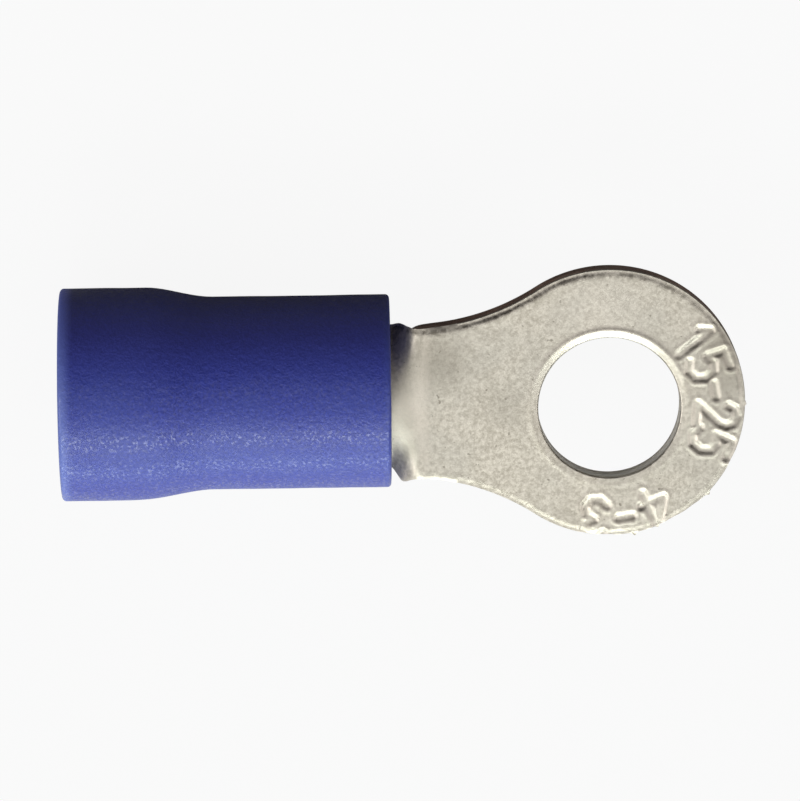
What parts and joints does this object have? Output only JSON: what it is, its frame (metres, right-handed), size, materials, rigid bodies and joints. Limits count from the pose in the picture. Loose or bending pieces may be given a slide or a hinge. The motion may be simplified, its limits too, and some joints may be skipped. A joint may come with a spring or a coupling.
{
  "type": "ring terminal",
  "caption": "Insulated crimp ring terminal: a stamped tin-plated ring and tongue that rolls into a wire barrel, inside a blue vinyl sleeve with a wider wire entry.",
  "frame": {"origin": "centre of the stud hole, half way through the sheet of the tongue", "axes": "+Z along the stud hole, towards the flat side of the tongue, with the barrel's axis 1.3 mm below it; +X along the terminal, from the wire entry towards the ring"},
  "size_m": [0.0207, 0.0081, 0.0064],
  "materials": {
    "tinned_sheet": "satin tin plating, fine mottle, darker sheared edges",
    "blue_vinyl": "moulded vinyl, fine orange peel, soft gloss"
  },
  "bodies": {
    "root": {"terminal_body": "tinned_sheet", "insulating_sleeve": "blue_vinyl"}
  },
  "joints": []
}
